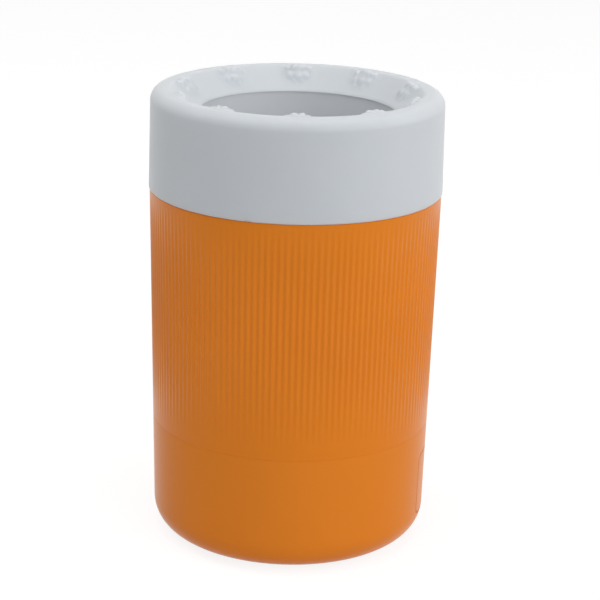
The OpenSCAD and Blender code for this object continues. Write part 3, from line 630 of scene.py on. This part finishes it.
def boot_piece():
    """The trigger's rubber dome: a flange, a fold round its side and a dimple on top."""
    low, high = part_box("trigger_boot")
    middle = (low + high) / 2
    flange_r = (high.x - low.x) / 2
    flange_t = 0.9 * MM
    dome_r = flange_r - 2 * MM
    wall = 0.8 * MM
    edge = 1.0 * MM
    dimple_z = high.z - 0.15 * MM
    edge_c = (dome_r - edge, high.z - edge)
    outside = [(flange_r, low.z), (flange_r, low.z + flange_t), (dome_r, low.z + flange_t),
               (dome_r, edge_c[1] - 0.9 * MM), (dome_r - 0.25 * MM, edge_c[1] - 0.55 * MM),
               (dome_r, edge_c[1] - 0.2 * MM), *arc(edge_c, edge, 0, 90, 8),
               (dome_r * 0.55, high.z), (dome_r * 0.5, dimple_z), (AXIS_HOLE, dimple_z)]
    inside = [(AXIS_HOLE, high.z - wall), (dome_r - wall, high.z - wall), (dome_r - wall, low.z)]
    grid = ring_points(outside + inside, even_angles(72)) + np.array([middle.x, middle.y, 0])
    boot = make_piece("boot", [grid_shell(grid)], GREY_RUBBER, None,
                      ["trigger_boot"])
    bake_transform(boot)


def foam_piece():
    """The insulation between the liner and the ribbed body, stepped at the liner's socket."""
    low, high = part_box("foam_sleeve")
    gap = 0.15 * MM
    socket_play = 0.3 * MM
    socket_z = SKIRT_Z - gap
    liner_r = WELL_R + LINER_WALL
    socket_r = SKIRT_R + socket_play + LINER_WALL

    def inside(z):
        return body_r(z) - SHELL_WALL - gap

    profile = [(liner_r + gap, low.z), (inside(low.z), low.z), (inside(high.z), high.z),
               (socket_r + gap, high.z), (socket_r + gap, socket_z - gap),
               (liner_r + gap, socket_z - LINER_WALL - gap)]
    make_piece("insulation", [grid_shell(ring_points(profile, even_angles(180)))], FOAM, "base",
               ["foam_sleeve"])


def helix(centre, axis_z, radius, height, turns, steps=20):
    """Points of a coil from centre along Z, or along -Y. Its end half turns lie flat."""
    points = []
    for n in range(int(turns * steps) + 1):
        t = n / steps
        ends = max(0.0, (t - 0.5) / (turns - 1.0))
        rise = height * min(ends, 1.0)
        x, y = radius * math.cos(2 * math.pi * t), radius * math.sin(2 * math.pi * t)
        points.append(centre + (Vector((x, y, rise)) if axis_z else Vector((x, -rise, y))))
    return points


def spring_pieces():
    wire = 0.25 * MM
    trigger_turns, contact_turns = 6, 4
    low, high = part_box("plunger_spring")
    radius = (high.x - low.x) / 2 - wire
    start = Vector(((low.x + high.x) / 2, (low.y + high.y) / 2, low.z + wire))
    path = helix(start, True, radius, high.z - low.z - 2 * wire, trigger_turns)
    spring = make_piece("trigger_coil", [tube_shell(path, wire)], SPRING_STEEL, None,
                        ["plunger_spring"])
    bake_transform(spring)

    low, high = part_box("contact_spring")
    radius = (high.x - low.x) / 2 - wire
    start = Vector(((low.x + high.x) / 2, high.y - wire, (low.z + high.z) / 2))
    path = helix(start, False, radius, high.y - low.y - 2 * wire, contact_turns)
    make_piece("contact_coil", [tube_shell(path, wire)], SPRING_STEEL, "base",
               ["contact_spring"])


def lead_path(a, b, a_pull, b_pull, radius, steps=32):
    """A curve from a to b, which leaves each end straight along its pull."""
    a, b, a_pull, b_pull = (Vector(v) for v in (a, b, a_pull, b_pull))
    a_out = a + radius * a_pull.normalized()
    b_out = b + radius * b_pull.normalized()
    curve = []
    for n in range(steps + 1):
        t = n / steps
        curve.append((1 - t) ** 3 * a_out + 3 * (1 - t) ** 2 * t * (a_out + a_pull)
                     + 3 * (1 - t) * t ** 2 * (b_out + b_pull) + t ** 3 * b_out)
    return [a, *curve, b]


def lead_pieces():
    """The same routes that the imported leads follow, rounder and smoother."""
    radius = 0.6 * MM
    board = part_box("circuit_board")
    board_x = (board[0].x + board[1].x) / 2
    board_l, board_w = board[1].x - board[0].x, board[1].y - board[0].y
    board_z = board[0].z
    box_low, box_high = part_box("battery_box")
    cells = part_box("cells")
    cell_z = (cells[0].z + cells[1].z) / 2
    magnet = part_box("speaker_magnet")
    magnet_r = magnet[1].x
    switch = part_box("switch_body")
    switch_y = (switch[0].y + switch[1].y) / 2
    switch_l = switch[1].x - switch[0].x
    box_w = box_high.y - box_low.y
    slack = 8 * MM
    # Where the leads meet the board: from its end and side, and apart
    battery_pads_x = board_x + board_l / 2 - 3 * MM
    speaker_pads_x = board_x + board_l / 2 - 8 * MM
    switch_pads_x = board_x + board_l / 4
    switch_pads_y = board_w / 2 - 2 * MM
    switch_pads_apart = 2.5 * MM
    # For each node its slot, its material and, for each lead of the pair, the two ends and pulls
    routes = {
        "battery_leads": ("red_lead", RED_LEAD, lambda s: (
            (box_low.x, s * box_w / 3, cell_z),
            (battery_pads_x, s * board_w / 4, board_z),
            (-slack, 0, 0), (0, 0, -1.4 * slack))),
        "speaker_leads": ("black_lead", BLACK_LEAD, lambda s: (
            (-magnet_r * 0.3, s * magnet_r / 4, magnet[1].z),
            (speaker_pads_x, s * board_w / 5, board_z),
            (0, 0, slack), (0, 0, -slack))),
        "switch_leads": ("yellow_lead", YELLOW_LEAD, lambda s: (
            (s * switch_l / 4, switch_y, switch[1].z),
            (switch_pads_x + s * switch_pads_apart, switch_pads_y, board_z),
            (0, 0, slack), (0, 0, -slack))),
    }
    for node, (slot_name, material, ends) in routes.items():
        shells = [tube_shell(lead_path(*ends(s), radius), radius, 14) for s in (-1, 1)]
        make_piece(node.replace("leads", "wires"), shells, material, "base", [node])


ribbed_body()
collar_moulding()
seal_piece()
foot_pieces()
boot_piece()
foam_piece()
spring_pieces()
lead_pieces()


# ---------------------------------------------------------------- floor, light, camera

WORLD_LIGHT = 0.2
FLOOR_HALF = 4.0
# The floor's grey for the object, and its grey and glow for the camera
FLOOR_GREY = (0.72, 0.72, 0.72, 1)
FLOOR_FAINT = (0.22, 0.22, 0.22, 1)
FLOOR_GLOW = 0.86
WHITE_LIGHT = (1, 1, 1, 1)

# Name, degrees right of the object's front, degrees up, and power
LAMPS = [("key", 40, 25, 6.7), ("right", 90, 20, 9.0), ("front", 0, 30, 4.0),
         ("front_high", 0, 62, 4.4), ("top", 0, 89, 9.6)]
LAMP_AIM_Z = 0.08

# Long lens a little above the object, turned slightly about its own axis. It stands back
# along its tilt from a point on the object's axis, and looks just beside that point.
CAMERA_TILT = 0.311
CAMERA_ROLL = 0.0262
CAMERA_DISTANCE = 0.7468
CAMERA_MIDDLE_Z = 0.082606
CAMERA_AIM_X = 0.00263
CAMERA_AIM_UP = 0.00511
CAMERA_LENS = 121.51


def white_to_camera(nodes, links, diffuse_part, white_part):
    """Mixes a shader towards plain white for camera, glossy and transmission rays."""
    path = nodes.new("ShaderNodeLightPath")
    seen = nodes.new("ShaderNodeMath")
    seen.operation = "MAXIMUM"
    links.new(path.outputs["Is Camera Ray"], seen.inputs[0])
    either = nodes.new("ShaderNodeMath")
    either.operation = "MAXIMUM"
    links.new(path.outputs["Is Glossy Ray"], either.inputs[0])
    links.new(path.outputs["Is Transmission Ray"], either.inputs[1])
    links.new(either.outputs["Value"], seen.inputs[1])
    mix = nodes.new("ShaderNodeMixShader")
    links.new(seen.outputs["Value"], mix.inputs["Fac"])
    links.new(diffuse_part, mix.inputs[1])
    links.new(white_part, mix.inputs[2])
    return mix.outputs["Shader"]


def make_world():
    """Plain dim light from all round, seen as white."""
    world = bpy.data.worlds.new("studio")
    world.use_nodes = True
    bpy.context.scene.world = world
    nodes, links = world.node_tree.nodes, world.node_tree.links
    nodes.clear()
    output = nodes.new("ShaderNodeOutputWorld")
    dim = nodes.new("ShaderNodeBackground")
    dim.inputs["Color"].default_value = WHITE_LIGHT
    dim.inputs["Strength"].default_value = WORLD_LIGHT
    white = nodes.new("ShaderNodeBackground")
    white.inputs["Color"].default_value = WHITE_LIGHT
    white.inputs["Strength"].default_value = 1.0
    links.new(white_to_camera(nodes, links, dim.outputs["Background"], white.outputs["Background"]),
              output.inputs["Surface"])


def make_floor():
    """A pale floor that reads as white and keeps a faint shadow."""
    mesh = bpy.data.meshes.new("floor")
    half = FLOOR_HALF
    mesh.from_pydata([(-half, -half, 0), (half, -half, 0), (half, half, 0), (-half, half, 0)],
                     [], [(0, 1, 2, 3)])
    floor = bpy.data.objects.new("floor", mesh)
    bpy.context.scene.collection.objects.link(floor)
    material = bpy.data.materials.new("floor")
    material.use_nodes = True
    nodes, links = material.node_tree.nodes, material.node_tree.links
    nodes.clear()
    output = nodes.new("ShaderNodeOutputMaterial")
    plain = nodes.new("ShaderNodeBsdfDiffuse")
    plain.inputs["Color"].default_value = FLOOR_GREY
    faint = nodes.new("ShaderNodeBsdfDiffuse")
    faint.inputs["Color"].default_value = FLOOR_FAINT
    glow = nodes.new("ShaderNodeEmission")
    glow.inputs["Color"].default_value = WHITE_LIGHT
    glow.inputs["Strength"].default_value = FLOOR_GLOW
    both = nodes.new("ShaderNodeAddShader")
    links.new(faint.outputs["BSDF"], both.inputs[0])
    links.new(glow.outputs["Emission"], both.inputs[1])
    links.new(white_to_camera(nodes, links, plain.outputs["BSDF"], both.outputs["Shader"]),
              output.inputs["Surface"])
    mesh.materials.append(material)


def soft_box(name, turn, rise, power, size=1.4, distance=1.8):
    """A square lamp that looks at the object, turn degrees right of its front and rise up."""
    aim = Vector((0, 0, LAMP_AIM_Z))
    turn, rise = math.radians(turn), math.radians(rise)
    away = Vector((math.sin(turn) * math.cos(rise), -math.cos(turn) * math.cos(rise),
                   math.sin(rise)))
    light = bpy.data.lights.new(name, "AREA")
    light.shape = "SQUARE"
    light.size = size
    light.energy = power
    lamp = bpy.data.objects.new(name, light)
    lamp.location = aim + distance * away
    lamp.rotation_mode = "QUATERNION"
    lamp.rotation_quaternion = (-away).to_track_quat("-Z", "Y")
    bpy.context.scene.collection.objects.link(lamp)


def make_camera():
    middle = Vector((0, 0, CAMERA_MIDDLE_Z))
    back = Vector((0, -math.cos(CAMERA_TILT), math.sin(CAMERA_TILT)))
    place = middle + CAMERA_DISTANCE * back
    aim = Vector((CAMERA_AIM_X, 0, middle.z + CAMERA_AIM_UP))
    ahead = (aim - place).normalized()
    right = ahead.cross(Vector((0, 0, 1))).normalized()
    up = right.cross(ahead)
    turned_right = right * math.cos(CAMERA_ROLL) + up * math.sin(CAMERA_ROLL)
    turned_up = up * math.cos(CAMERA_ROLL) - right * math.sin(CAMERA_ROLL)
    camera = bpy.data.cameras.new("camera")
    camera.sensor_width = 36
    camera.lens = CAMERA_LENS
    camera.clip_start, camera.clip_end = 0.02, 20
    seat = bpy.data.objects.new("camera", camera)
    seat.matrix_world = Matrix((
        (turned_right.x, turned_up.x, -ahead.x, place.x),
        (turned_right.y, turned_up.y, -ahead.y, place.y),
        (turned_right.z, turned_up.z, -ahead.z, place.z), (0, 0, 0, 1)))
    bpy.context.scene.collection.objects.link(seat)
    bpy.context.scene.camera = seat


make_world()
make_floor()
for lamp in LAMPS:
    soft_box(*lamp)
soft_box("left", -102, 48, 5.3, size=0.7)
make_camera()

bpy.context.scene.view_settings.view_transform = "Standard"
